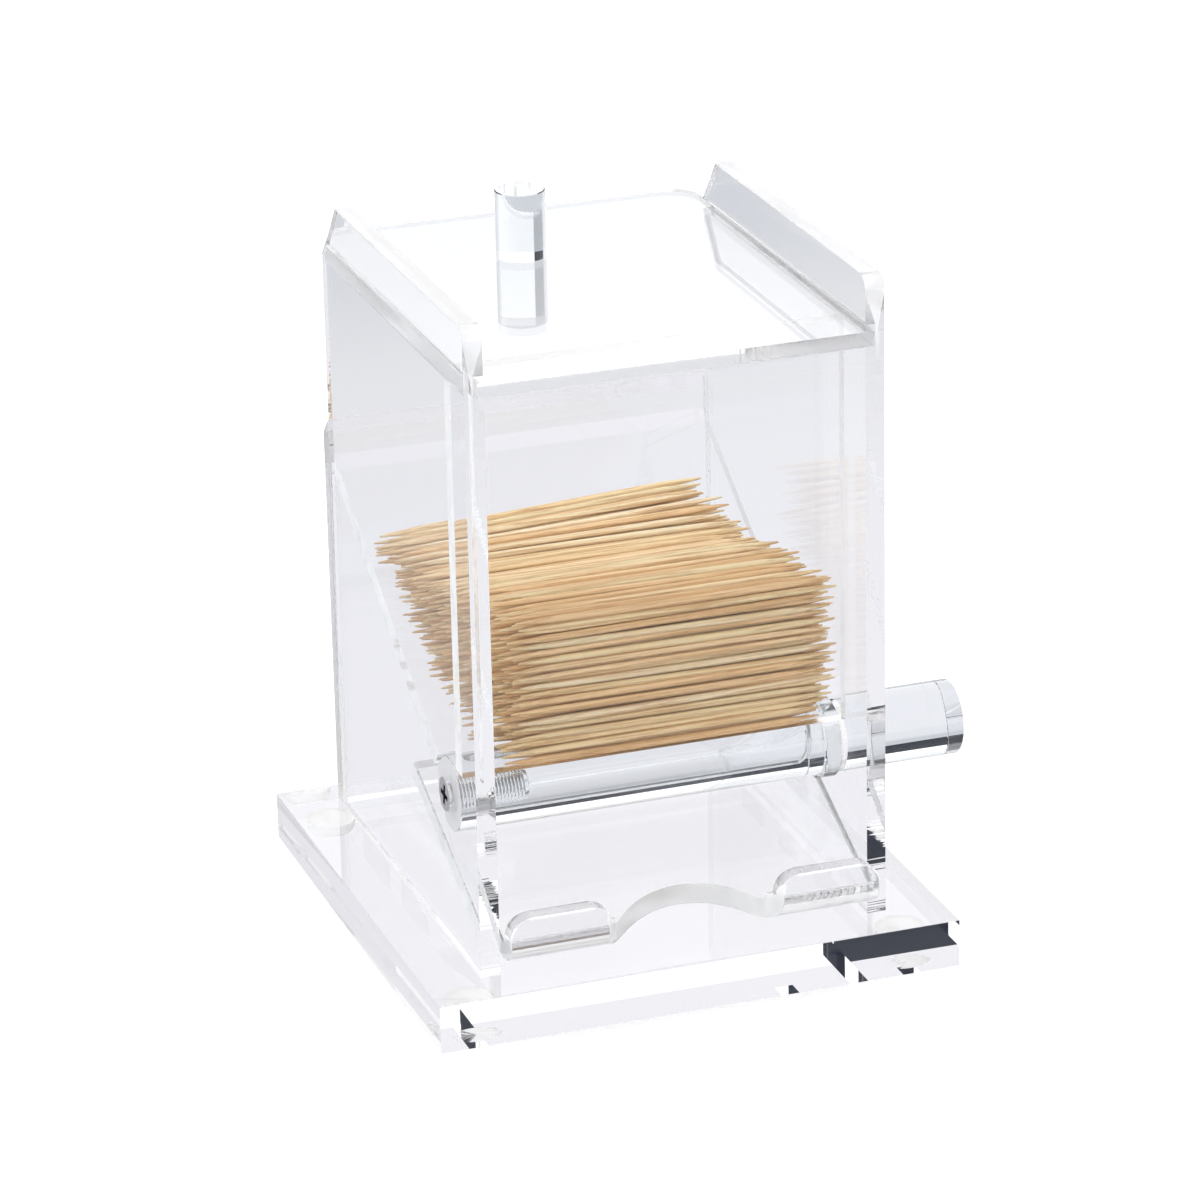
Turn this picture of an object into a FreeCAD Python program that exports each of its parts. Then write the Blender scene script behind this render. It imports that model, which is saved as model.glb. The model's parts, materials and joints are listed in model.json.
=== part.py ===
# Toothpick dispenser made of clear acrylic sheet, rod and a thick base plate.
#
# Toothpicks lie crosswise in a hopper. They come down a ramp onto a round roller that closes the
# hopper's mouth. A pocket is milled along the roller. When the handle is turned, the pocket takes
# a few sticks, carries them round and drops them on a tray, where a finger cut-out bares them.
# The hopper is filled by sliding its lid out to the rear in two grooves.
#
# Millimetres. +X is to the handle's side, +Y to the back, +Z up. x = 0 and y = 0 are the middle
# of the base plate, and z = 0 is the table that the feet stand on.

import FreeCAD
import Part
import math
import os

os.makedirs("parts", exist_ok=True)
V = FreeCAD.Vector
X_DIR = V(1, 0, 0)
Z_DIR = V(0, 0, 1)

# ---- Driving dimensions -------------------------------------------------------------------

# Base plate and its feet
base_width = 107.0
base_depth = 111.0
base_thick = 9.7
base_edge_break = 0.4
foot_height = 2.5
foot_radius = 5.0
foot_sole_radius = 4.1
foot_inset = 9.0

# Sheet that the hopper is built from
sheet = 3.9
sheet_edge_break = 0.25
hopper_width = 76.0
side_depth = 91.2

# Upper end of the side panels: two ears beside the lid
ear_top = 143.5
ear_front_radius = 3.0
ear_slope_run = 10.2
ear_slope_drop = 12.0
ear_hollow = 0.5

# Lid, its grooves and its knob
groove_floor = 129.9
groove_height = 4.1
groove_depth = 2.0
lid_thick = 3.0
lid_length = 102.0
lid_side_play = 0.5
lid_front_overhang = 1.0
lid_corner_radius = 6.8
knob_radius = 5.0
knob_height = 13.7
knob_from_lid_front = 70.8
knob_off_middle = -7.1
knob_edge_break = 0.3

# Roller: axis, rod, handle, collar
roller_y = -25.2
roller_z = 42.35
roller_radius = 7.5
handle_length = 22.1
roller_end_play = 0.2
roller_running_fit = 0.1
roller_edge_break = 0.4
collar_radius = 8.2
collar_width = 3.5
collar_glue_film = 0.03
collar_edge_break = 0.4

# Pocket milled along the roller. Its turn is in degrees: 0 faces the back, 90 faces up.
pocket_length = 67.0
pocket_width = 6.35
pocket_depth = 2.6
pocket_from_collar = 1.8
pocket_turn = 60.0

# Countersunk screw that holds the roller's other end
screw_radius = 2.0
screw_length = 15.0
screw_head_radius = 3.4
screw_point = 0.5
screw_clearance = 0.1
thread_film = 0.03
tapped_hole_spare = 1.0
recess_span = 4.0
recess_slot = 0.8
recess_depth = 1.6

# Front and back panels
front_panel_set_back = 11.2
front_panel_under_lid = 0.4
front_panel_gap = 1.2
back_panel_height = 84.2

# Ramp that leads the sticks to the roller
ramp_angle = 32.0
ramp_gap = 1.2
ramp_end_at = 43.5

# Tray under the roller
tray_angle = 24.0
tray_rear_y = -2.5
tray_rear_z = 40.2
tray_lip_face_y = -52.5
tray_lip_top = 26.2
tray_bend_radius = 1.0
tray_corner_radius = 4.5
tray_edge_break = 0.3
finger_radius = 20.1
finger_reach = 11.2

# Toothpicks
stick_length = 65.0
stick_radius = 0.75
stick_sides = 4
stick_taper = 8.0
stick_spacing = 0.03
stick_wall_gap = 0.12
stick_size_spread = 0.05
stick_count = 466
stick_front_shift = 4.0
stick_rear_shift = -1.5
stick_shift_depth = 35.0
stick_scatter = 2.2
stick_end_gap = 0.6

# ---- Places that follow from them ---------------------------------------------------------

base_bottom = foot_height
base_top = base_bottom + base_thick
side_inner = hopper_width / 2
side_outer = side_inner + sheet
side_front_y = -side_depth / 2
side_back_y = side_depth / 2
ear_low = ear_top - ear_slope_drop
front_panel_y = side_front_y + front_panel_set_back
front_panel_inner_y = front_panel_y + sheet
roller_axis = V(0, roller_y, roller_z)
tray_slope = math.tan(math.radians(tray_angle))
ramp_slope = math.tan(math.radians(ramp_angle))


# ---- Small helpers ------------------------------------------------------------------------

def block(x0, x1, y0, y1, z0, z1):
    """Box between two opposite corners."""
    return Part.makeBox(x1 - x0, y1 - y0, z1 - z0, V(x0, y0, z0))


def extrude_along_x(points, x0, x1):
    """Solid from a closed outline of (y, z) points, from x0 to x1."""
    corners = [V(x0, y, z) for y, z in points]
    face = Part.Face(Part.makePolygon(corners + corners[:1]))
    return face.extrude(V(x1 - x0, 0, 0))


def rod_along_x(radius, x0, x1, y, z):
    """Round rod about an axis parallel to X."""
    return Part.makeCylinder(radius, x1 - x0, V(x0, y, z), X_DIR)


def edges_where(solid, test):
    """Edges whose two ends both pass the test."""
    return [e for e in solid.Edges if all(test(v.Point) for v in e.Vertexes)]


def near(a, b):
    return abs(a - b) < 1e-6


def save(node, shape):
    """One STEP file per sub-part."""
    if not shape.isValid():
        raise ValueError(node + " is not a valid solid")
    shape.exportStep("parts/" + node + ".step")
    print(node, round(shape.Volume, 1), "mm3,", len(shape.Solids), "solid(s)")


# ---- Base plate and feet ------------------------------------------------------------------

def make_base():
    """Thick plate with polished, slightly broken edges."""
    plate = block(-base_width / 2, base_width / 2, -base_depth / 2, base_depth / 2,
                  base_bottom, base_top)
    return plate.makeChamfer(base_edge_break, plate.Edges)


def make_foot(side, end):
    """Self-adhesive clear bumper, tapered to a flat sole on the table."""
    x = side * (base_width / 2 - foot_inset)
    y = end * (base_depth / 2 - foot_inset)
    return Part.makeCone(foot_sole_radius, foot_radius, foot_height, V(x, y, 0), Z_DIR)


# ---- Side panels --------------------------------------------------------------------------

def make_side_blank(side):
    """Upright sheet with a rounded front corner and a hollowed slope behind its ear."""
    inner = side * side_inner
    r = ear_front_radius
    front_low = V(inner, side_front_y, base_top)
    front_high = V(inner, side_front_y, ear_top - r)
    top_front = V(inner, side_front_y + r, ear_top)
    top_back = V(inner, side_back_y - ear_slope_run, ear_top)
    back_high = V(inner, side_back_y, ear_low)
    back_low = V(inner, side_back_y, base_top)
    bend = r * (1 - math.sqrt(0.5))
    corner_mid = V(inner, side_front_y + bend, ear_top - bend)
    chord = back_high - top_back
    inward = V(0, chord.z, -chord.y).normalize()
    slope_mid = (top_back + back_high) * 0.5 + inward * ear_hollow
    outline = Part.Wire([
        Part.makeLine(front_low, front_high),
        Part.Arc(front_high, corner_mid, top_front).toShape(),
        Part.makeLine(top_front, top_back),
        Part.Arc(top_back, slope_mid, back_high).toShape(),
        Part.makeLine(back_high, back_low),
        Part.makeLine(back_low, front_low),
    ])
    blank = Part.Face(outline).extrude(V(side * sheet, 0, 0))
    free = [e for e in blank.Edges
            if near(e.BoundBox.XLength, 0) and e.BoundBox.ZMax > base_top + sheet]
    return blank.makeChamfer(sheet_edge_break, free)


def make_groove(side):
    """Slot along the inner face that the lid slides in, open at the front and back."""
    inner, floor_x = side * side_inner, side * (side_inner + groove_depth)
    return block(min(inner, floor_x), max(inner, floor_x),
                 side_front_y - sheet, side_back_y + sheet,
                 groove_floor, groove_floor + groove_height)


def make_left_side():
    """The roller's screw turns in a countersunk hole of this panel."""
    panel = make_side_blank(-1).cut(make_groove(-1))
    shank = rod_along_x(screw_radius + screw_clearance, -side_outer, -side_inner,
                        roller_y, roller_z)
    mouth_radius = screw_head_radius + screw_clearance * math.sqrt(2)
    sink_depth = mouth_radius - screw_radius - screw_clearance
    sink = Part.makeCone(mouth_radius, screw_radius + screw_clearance, sink_depth,
                         V(-side_outer, roller_y, roller_z), X_DIR)
    return panel.cut(shank).cut(sink)


def make_right_side():
    """The roller's handle passes through this panel."""
    panel = make_side_blank(1).cut(make_groove(1))
    hole = rod_along_x(roller_radius + roller_running_fit, side_inner, side_outer,
                       roller_y, roller_z)
    return panel.cut(hole)


# ---- Front panel, back panel and ramp -----------------------------------------------------

def make_front():
    """Hangs between the sides. Its lower edge leaves less than a stick's width at the roller."""
    reach = roller_radius + front_panel_gap
    away = roller_y - front_panel_inner_y
    low = roller_z + math.sqrt(reach ** 2 - away ** 2)
    high = groove_floor - front_panel_under_lid
    panel = block(-side_inner, side_inner, front_panel_y, front_panel_inner_y, low, high)
    return panel.makeChamfer(sheet_edge_break, edges_where(panel, lambda p: near(p.z, low)))


def make_back():
    """Closes the lower half of the back. Its upper edge is cut at 45 degrees to the ramp's side."""
    top = base_top + back_panel_height
    outline = [(side_back_y, base_top), (side_back_y, top),
               (side_back_y + sheet, top - sheet), (side_back_y + sheet, base_top)]
    return extrude_along_x(outline, -side_outer, side_outer)


def ramp_lower_edge():
    """Lower edge of the ramp's upper surface, a named gap away from the roller."""
    turn = math.radians(ramp_end_at)
    reach = roller_radius + ramp_gap
    return roller_y + reach * math.cos(turn), roller_z + reach * math.sin(turn)


def make_ramp():
    """Sloping sheet between the sides, from the back panel down to the roller."""
    y_low, z_low = ramp_lower_edge()
    z_high = z_low + ramp_slope * (side_back_y - y_low)
    slope = math.radians(ramp_angle)
    outline = [
        (y_low, z_low),
        (side_back_y, z_high),
        (side_back_y, z_high - sheet / math.cos(slope)),
        (y_low + sheet * math.sin(slope), z_low - sheet * math.cos(slope)),
    ]
    return extrude_along_x(outline, -side_inner, side_inner)


# ---- Tray ---------------------------------------------------------------------------------

def make_tray():
    """Sloping sheet with its front heated and bent up into two lips beside a finger cut-out."""
    slope = math.radians(tray_angle)
    lip_inner_y = tray_lip_face_y + sheet

    def upper(y):
        return tray_rear_z - tray_slope * (tray_rear_y - y)

    def lower(y):
        return upper(y) - sheet / math.cos(slope)

    square_cut = (tray_rear_y + sheet * math.sin(slope), upper(tray_rear_y) - sheet * math.cos(slope))
    outline = [
        (tray_rear_y, upper(tray_rear_y)),
        (lip_inner_y, upper(lip_inner_y)),
        (lip_inner_y, tray_lip_top),
        (tray_lip_face_y, tray_lip_top),
        (tray_lip_face_y, lower(tray_lip_face_y)),
        square_cut,
    ]
    tray = extrude_along_x(outline, -side_inner, side_inner)
    inner_bend = edges_where(tray, lambda p: near(p.y, lip_inner_y) and p.z < tray_lip_top)
    tray = tray.makeFillet(tray_bend_radius, inner_bend)
    outer_bend = edges_where(tray, lambda p: near(p.y, tray_lip_face_y) and p.z < tray_lip_top - sheet)
    tray = tray.makeFillet(tray_bend_radius + sheet, outer_bend)

    # The finger cut-out is one round bite from the front edge, through the lip and the slope.
    finger_y = tray_lip_face_y + finger_reach - finger_radius
    bite = Part.makeCylinder(finger_radius, ear_top, V(0, finger_y, 0), Z_DIR)
    tray = tray.cut(bite)
    tip = math.sqrt(finger_radius ** 2 - (tray_lip_face_y + sheet / 2 - finger_y) ** 2)
    for side in (-1, 1):
        tray = tray.cut(lip_corner(side * side_inner, -side))
        tray = tray.cut(lip_corner(side * tip, side))
    top_edges = [e for e in tray.Edges
                 if near(e.BoundBox.ZMin, tray_lip_top) and e.BoundBox.XLength > tray_corner_radius]
    return tray.makeChamfer(tray_edge_break, top_edges)


def lip_corner(x, inward):
    """What rounding takes off one upper corner of a lip."""
    r = tray_corner_radius
    y0, y1 = tray_lip_face_y - tray_edge_break, tray_lip_face_y + sheet + tray_edge_break
    x0, x1 = sorted((x - inward * sheet, x + inward * r))
    waste = block(x0, x1, y0, y1, tray_lip_top - r, tray_lip_top + tray_edge_break)
    keep = Part.makeCylinder(r, y1 - y0, V(x + inward * r, y0, tray_lip_top - r), V(0, 1, 0))
    return waste.cut(keep)


# ---- Roller, collar and screw -------------------------------------------------------------

def make_pocket():
    """Pocket as an end mill leaves it: a flat floor and half-round ends."""
    r = pocket_width / 2
    x1 = side_inner - roller_end_play - collar_width - pocket_from_collar
    x0 = x1 - pocket_length
    floor = roller_radius - pocket_depth
    high = 2 * pocket_depth
    slot = block(x0 + r, x1 - r, -r, r, floor, floor + high)
    for x in (x0 + r, x1 - r):
        slot = slot.fuse(Part.makeCylinder(r, high, V(x, 0, floor), Z_DIR))
    slot = slot.removeSplitter()
    slot.rotate(V(0, 0, 0), X_DIR, pocket_turn - 90)
    slot.translate(roller_axis)
    return slot


def make_roller():
    """Rod with its handle end outside, a pocket inside and a tapped hole for the screw."""
    x0 = -side_inner + roller_end_play
    x1 = side_outer + handle_length
    rod = rod_along_x(roller_radius, x0, x1, roller_y, roller_z)
    rims = [e for e in rod.Edges if near(e.BoundBox.XLength, 0)]
    rod = rod.makeChamfer(roller_edge_break, rims)
    bore = screw_radius + thread_film
    bore_end = -side_outer + screw_length + tapped_hole_spare
    hole = rod_along_x(bore, x0, bore_end, roller_y, roller_z)
    drill_tip = Part.makeCone(bore, 0, bore * math.tan(math.radians(31)),
                              V(bore_end, roller_y, roller_z), X_DIR)
    return rod.cut(make_pocket()).cut(hole.fuse(drill_tip))


def make_collar():
    """Ring cemented on the roller. It bears on the panel and stops the roller from sliding out."""
    x1 = side_inner - roller_end_play
    x0 = x1 - collar_width
    ring = rod_along_x(collar_radius, x0, x1, roller_y, roller_z)
    ring = ring.makeChamfer(collar_edge_break, [e for e in ring.Edges if near(e.BoundBox.XLength, 0)])
    return ring.cut(rod_along_x(roller_radius + collar_glue_film, x0, x1, roller_y, roller_z))


def make_screw():
    """Countersunk screw with a cross recess, flush with the panel's outer face."""
    head = screw_head_radius - screw_radius
    tip_radius = screw_radius - screw_point
    profile = [V(0, 0, 0), V(0, 0, screw_head_radius), V(head, 0, screw_radius),
               V(screw_length - screw_point, 0, screw_radius),
               V(screw_length, 0, tip_radius), V(screw_length, 0, 0)]
    half = Part.Face(Part.makePolygon(profile + profile[:1]))
    screw = half.revolve(V(0, 0, 0), X_DIR, 360)
    for turn in (0, 90):
        screw = screw.cut(recess_wing(turn))
    screw.translate(V(-side_outer, roller_y, roller_z))
    return screw


def recess_wing(turn):
    """One of the two crossed slots of the recess, tapering to the bottom."""
    half_span = recess_span / 2
    half_foot = recess_slot
    wing = Part.Face(Part.makePolygon([
        V(0, -recess_slot / 2, -half_span), V(0, -recess_slot / 2, half_span),
        V(recess_depth, -recess_slot / 2, half_foot), V(recess_depth, -recess_slot / 2, -half_foot),
        V(0, -recess_slot / 2, -half_span)]))
    wing = wing.extrude(V(0, recess_slot, 0))
    wing.rotate(V(0, 0, 0), X_DIR, turn)
    return wing


# ---- Lid and knob -------------------------------------------------------------------------

def make_lid():
    """Thin sheet that rests on the floors of both grooves and slides out to the rear."""
    half = side_inner + groove_depth - lid_side_play
    y0 = side_front_y - lid_front_overhang
    y1 = y0 + lid_length
    lid = block(-half, half, y0, y1, groove_floor, groove_floor + lid_thick)
    rear = [e for e in lid.Edges if near(e.BoundBox.YMin, y1) and e.BoundBox.ZLength > 1]
    lid = lid.makeFillet(lid_corner_radius, rear)
    rims = [e for e in lid.Edges if near(e.BoundBox.ZLength, 0)]
    return lid.makeChamfer(sheet_edge_break, rims)


def make_knob():
    """Short rod cemented on the lid, a little off its middle."""
    z0 = groove_floor + lid_thick
    y = side_front_y - lid_front_overhang + knob_from_lid_front
    knob = Part.makeCylinder(knob_radius, knob_height, V(knob_off_middle, y, z0), Z_DIR)
    rim = [e for e in knob.Edges if near(e.BoundBox.ZMin, z0 + knob_height)]
    return knob.makeChamfer(knob_edge_break, rim)


# ---- Toothpicks ---------------------------------------------------------------------------

def spread(index, key):
    """Even scatter from -1 to 1 without a repeat, so that the pile is the same in each build."""
    return 2 * ((index * 0.6180339887 + key * 0.7548776662) % 1.0) - 1


class Pile:
    """Cross-section of the pile: round sticks that each rest in the lowest free hollow."""

    def __init__(self):
        self.sticks = []
        self.edge_y, self.edge_z = ramp_lower_edge()
        turn = math.radians(ramp_angle)
        self.normal = (-math.sin(turn), math.cos(turn))
        self.along = (math.cos(turn), math.sin(turn))

    def clear(self, y, z, r):
        """True where a stick of this radius touches neither a wall nor another stick."""
        gap = r + stick_wall_gap - 1e-6
        if y - front_panel_inner_y < gap or side_back_y - y < gap:
            return False
        if math.hypot(y - roller_y, z - roller_z) < roller_radius + gap:
            return False
        dy, dz = y - self.edge_y, z - self.edge_z
        if dy * self.along[0] + dz * self.along[1] < 0:
            if math.hypot(dy, dz) < gap:
                return False
        elif dy * self.normal[0] + dz * self.normal[1] < gap:
            return False
        return all(math.hypot(y - a, z - b) >= r + c + stick_spacing - 1e-6
                   for a, b, c in self.sticks)

    def rests(self, r):
        """Round supports (y, z, distance) that the middle of a new stick can lie at."""
        found = [(roller_y, roller_z, roller_radius + r + stick_wall_gap),
                 (self.edge_y, self.edge_z, r + stick_wall_gap)]
        return found + [(a, b, c + r + stick_spacing) for a, b, c in self.sticks]

    def on_walls(self, rest, r):
        """Places that touch one round support and the front panel or the ramp."""
        a, b, reach = rest
        places = []
        dy = front_panel_inner_y + r + stick_wall_gap - a
        if abs(dy) < reach:
            places.append((a + dy, b + math.sqrt(reach ** 2 - dy ** 2)))
        off = (a - self.edge_y) * self.normal[0] + (b - self.edge_z) * self.normal[1]
        off = r + stick_wall_gap - off
        if abs(off) < reach:
            slide = math.sqrt(reach ** 2 - off ** 2)
            for way in (-1, 1):
                places.append((a + off * self.normal[0] + way * slide * self.along[0],
                               b + off * self.normal[1] + way * slide * self.along[1]))
        return places

    def between(self, one, two):
        """The upper place that touches two round supports."""
        dy, dz = two[0] - one[0], two[1] - one[1]
        apart = math.hypot(dy, dz)
        if apart < 1e-9 or apart >= one[2] + two[2]:
            return []
        along = (one[2] ** 2 - two[2] ** 2 + apart ** 2) / (2 * apart)
        rise = one[2] ** 2 - along ** 2
        if rise <= 0:
            return []
        rise = math.sqrt(rise)
        if dy < 0:
            rise = -rise
        return [(one[0] + along * dy / apart - rise * dz / apart,
                 one[1] + along * dz / apart + rise * dy / apart)]

    def add(self, r):
        """Put one more stick into the lowest place that is free."""
        rests = self.rests(r)
        places = []
        for i, one in enumerate(rests):
            places += self.on_walls(one, r)
            for two in rests[:i]:
                if abs(two[0] - one[0]) < one[2] + two[2]:
                    places += self.between(one, two)
        for y, z in sorted(places, key=lambda place: place[1]):
            if self.clear(y, z, r):
                self.sticks.append((y, z, r))
                return


def make_stick(r):
    """Many-sided stick on the X axis, pointed at both ends, of radius r across its corners."""
    half = stick_length / 2
    turns = [2 * math.pi * k / stick_sides for k in range(stick_sides)]
    left, right = [[V(x, r * math.cos(turn), r * math.sin(turn)) for turn in turns]
                   for x in (-half + stick_taper, half - stick_taper)]
    faces = []
    for k in range(stick_sides):
        m = (k + 1) % stick_sides
        for corners in ([left[k], right[k], right[m], left[m]],
                        [V(-half, 0, 0), left[k], left[m]],
                        [V(half, 0, 0), right[m], right[k]]):
            faces.append(Part.Face(Part.makePolygon(corners + corners[:1])))
    solid = Part.Solid(Part.Shell(faces))
    if solid.Volume < 0:
        solid.reverse()
    return solid


def make_toothpicks():
    """The hopper's fill. Sticks in front have slid to the handle's side, those behind less."""
    pile = Pile()
    for i in range(stick_count):
        pile.add(stick_radius + stick_size_spread * spread(i, 1) / 2)
    most = side_inner - stick_end_gap - stick_length / 2
    beside_collar = side_inner - roller_end_play - collar_width - stick_end_gap - stick_length / 2
    sticks = []
    for i, (y, z, r) in enumerate(pile.sticks):
        share = min(1.0, (y - front_panel_inner_y) / stick_shift_depth)
        x = stick_front_shift + (stick_rear_shift - stick_front_shift) * share
        x += stick_scatter * spread(i, 2)
        limit = most
        if math.hypot(y - roller_y, z - roller_z) < collar_radius + 2 * stick_radius:
            limit = beside_collar
        x = max(-most, min(limit, x))
        stick = make_stick(r)
        stick.rotate(V(0, 0, 0), X_DIR, 180 / stick_sides * spread(i, 3))
        stick.translate(V(x, y, z))
        sticks.append(stick)
    return Part.makeCompound(sticks)


# ---- Export -------------------------------------------------------------------------------

save("base_plate", make_base())
save("foot_front_left", make_foot(-1, -1))
save("foot_front_right", make_foot(1, -1))
save("foot_back_left", make_foot(-1, 1))
save("foot_back_right", make_foot(1, 1))
save("left_side_panel", make_left_side())
save("right_side_panel", make_right_side())
save("front_panel", make_front())
save("back_panel", make_back())
save("hopper_ramp", make_ramp())
save("tray", make_tray())
save("roller", make_roller())
save("roller_collar", make_collar())
save("roller_screw", make_screw())
save("lid", make_lid())
save("lid_knob", make_knob())
save("toothpicks", make_toothpicks())
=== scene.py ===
# %% [markdown]
# # A toothpick dispenser of clear acrylic
#
# The real object is a small box of laser-cut acrylic sheets, cemented together on a thick polished
# plate. A turned acrylic rod with a milled pocket lies under the hopper. Turning it lets the wooden
# toothpicks roll down, one at a time, to a heat-bent tray. The sizes, joints and places come from
# the CAD frame: this script reads them there and dresses each solid. Everything is in metres, with
# +X towards the handle, +Y to the back and +Z up, and the table is at z = 0.

import json
import math
import random

import bmesh
import bpy
from mathutils import Matrix, Vector


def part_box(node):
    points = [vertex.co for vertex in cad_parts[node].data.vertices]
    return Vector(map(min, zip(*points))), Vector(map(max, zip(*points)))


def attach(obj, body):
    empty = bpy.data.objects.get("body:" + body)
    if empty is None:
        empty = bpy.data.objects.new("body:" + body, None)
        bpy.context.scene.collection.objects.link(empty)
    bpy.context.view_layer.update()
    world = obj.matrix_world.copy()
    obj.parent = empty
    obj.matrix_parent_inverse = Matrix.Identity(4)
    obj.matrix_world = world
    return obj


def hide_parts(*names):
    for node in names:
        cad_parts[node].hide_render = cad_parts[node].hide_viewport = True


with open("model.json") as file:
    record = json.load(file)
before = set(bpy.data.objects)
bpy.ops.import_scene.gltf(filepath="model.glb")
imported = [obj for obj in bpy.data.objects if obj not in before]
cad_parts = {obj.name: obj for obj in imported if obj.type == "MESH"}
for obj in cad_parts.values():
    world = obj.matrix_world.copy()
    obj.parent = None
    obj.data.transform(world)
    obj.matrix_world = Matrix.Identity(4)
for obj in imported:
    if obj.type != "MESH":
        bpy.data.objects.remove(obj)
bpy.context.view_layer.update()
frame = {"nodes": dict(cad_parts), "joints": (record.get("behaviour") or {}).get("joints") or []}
cad = frame["nodes"]
scene = bpy.context.scene
MM = 0.001
ACROSS = Vector((1, 0, 0))
ALONG = Vector((0, 1, 0))
UP = Vector((0, 0, 1))

# %% [markdown]
# ## Writing a finish as text
#
# A material is a tree of nodes. Placing nodes one by one gives long and unreadable code, so a small
# class wraps the output socket of a node: adding or multiplying two of them adds the Math node that
# does it. One method makes every other node. It takes the settings first, because some settings
# decide which sockets the node has.

# %% Sockets that can be added and multiplied
class Socket:
    """The output of a node. Sums and products of sockets and numbers add Math nodes."""

    def __init__(self, nodes, end):
        self.nodes = nodes
        self.end = end

    def math(self, operation, first, second):
        return self.nodes.add("Math", {"operation": operation}, {0: first, 1: second})

    def __add__(self, other):
        return self.math("ADD", self, other)

    def __sub__(self, other):
        return self.math("SUBTRACT", self, other)

    def __rsub__(self, other):
        return self.math("SUBTRACT", other, self)

    def __mul__(self, other):
        return self.math("MULTIPLY", self, other)

    __radd__ = __add__
    __rmul__ = __mul__


class Nodes:
    """The node tree of one material or world."""

    def __init__(self, owner):
        owner.use_nodes = True
        self.tree = owner.node_tree
        self.tree.nodes.clear()

    def add(self, kind, settings=None, sockets=None, out=0):
        """Makes a node, gives it its settings, then its values or links, and returns an output."""
        node = self.tree.nodes.new("ShaderNode" + kind)
        for name, value in (settings or {}).items():
            if name == "stops":
                self.set_stops(node.color_ramp.elements, value)
            else:
                setattr(node, name, value)
        for name, value in (sockets or {}).items():
            socket = self.pick(node.inputs, name)
            if isinstance(value, Socket):
                self.tree.links.new(value.end, socket)
            else:
                socket.default_value = value
        if node.outputs:
            return Socket(self, self.pick(node.outputs, out))

    @staticmethod
    def pick(sockets, name):
        if isinstance(name, int):
            return sockets[name]
        return next(socket for socket in sockets if socket.name == name and socket.enabled)

    @staticmethod
    def set_stops(elements, stops):
        while len(elements) < len(stops):
            elements.new(1.0)
        for element, (place, colour) in zip(elements, stops):
            element.position = place
            element.color = colour


print("a finish is written with Nodes.add and the operators of Socket")

# %% Colours, soft steps and clouds
def colour(red, green, blue):
    """A colour as a screen shows it, 0 to 255, turned into the linear values that a shader takes."""
    return tuple(
        (c / 12.92 if c <= 0.04045 else ((c + 0.055) / 1.055) ** 2.4)
        for c in (red / 255, green / 255, blue / 255)
    ) + (1.0,)


def step(value, start, end):
    """0 below start and 1 above end, with a soft change between them."""
    limits = {"Value": value, "From Min": start, "From Max": end}
    return value.nodes.add("MapRange", {"interpolation_type": "SMOOTHSTEP"}, limits, "Result")


def blend(factor, first, second):
    """The first colour where factor is 0, and the second where it is 1."""
    settings = {"data_type": "RGBA"}
    return factor.nodes.add("Mix", settings, {"Factor": factor, "A": first, "B": second}, "Result")


def clouds(place, size, detail=2.0):
    """Values that wander about 0.5, in patches of that size. More detail roughens their edges."""
    sockets = {"Vector": place, "Scale": 1 / size, "Detail": detail}
    return place.nodes.add("TexNoise", None, sockets, "Fac")


print("mid grey 128 in linear light:", round(colour(128, 128, 128)[0], 3))

# %% Start and end a finish
def new_finish(name):
    """An empty material, its nodes, and the place on the piece that its patterns follow."""
    material = bpy.data.materials.new(name)
    nodes = Nodes(material)
    return material, nodes, nodes.add("TexCoord", out="Object")


def show(nodes, surface):
    """Ends a finish with the shader that is seen, or with the values of a Principled one."""
    if isinstance(surface, dict):
        surface = nodes.add("BsdfPrincipled", None, surface)
    nodes.add("OutputMaterial", None, {"Surface": surface})


print("a finish starts with new_finish and ends with show")

# %% [markdown]
# ## Clear acrylic
#
# Acrylic is one of the clearest plastics: about 92 % of the light goes through a sheet, and the rest
# is lost to reflection at its two faces. It could be faked with a see-through material, but then the
# edges would look empty. A refracting one with the real index, 1.49, gives the bright and black
# streaks in the cut edges by itself. The broad faces are as cast, nearly flat. A laser leaves fine
# ribs across the edge that it cuts, and its fumes frost some of them. The plate's edges are sawn and
# polished, with a faint waviness, and a bend that was made over a hot wire is slightly hazy.

# %% The finishes of the sheets
ACRYLIC_INDEX = 1.49
CLEAR = (0.992, 0.994, 0.998, 1.0)
WIPE_SIZE = 25 * MM
GRAZING = (0.8, 0.98)


def clear_acrylic(name, haze, wave_size, wave_height, clear=1.0, calm=0.0,
                  drawn_out=(1, 1, 1), tint=CLEAR):
    """Refracting plastic. haze is its roughness, a little uneven where a cloth has wiped it. The
    waves are the unevenness of its surface, and drawn_out turns them into ribs. calm is the share
    of its gloss that a polarising filter on the lens takes away, except at a grazing angle."""
    material, nodes, place = new_finish(name)
    stretched = nodes.add("Mapping", None, {"Vector": place, "Scale": drawn_out})
    waves = clouds(stretched, wave_size)
    seen = nodes.add("BsdfPrincipled", None, {
        "Base Color": tint,
        "Roughness": haze * (0.4 + clouds(place, WIPE_SIZE, 4.0)),
        "IOR": ACRYLIC_INDEX,
        "Transmission Weight": clear,
        "Normal": nodes.add("Bump", None, {"Height": waves, "Distance": wave_height, "Strength": 1.0}),
    })
    if calm:
        mirror = nodes.add("Fresnel", None, {"IOR": ACRYLIC_INDEX})
        passing = {"Color": CLEAR, "IOR": ACRYLIC_INDEX, "Roughness": 0.0}
        seen = nodes.add("MixShader", None, {
            0: calm * (1 - step(mirror, *GRAZING)),
            1: seen,
            2: nodes.add("BsdfRefraction", None, passing),
        })
    show(nodes, seen)
    return material


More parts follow.
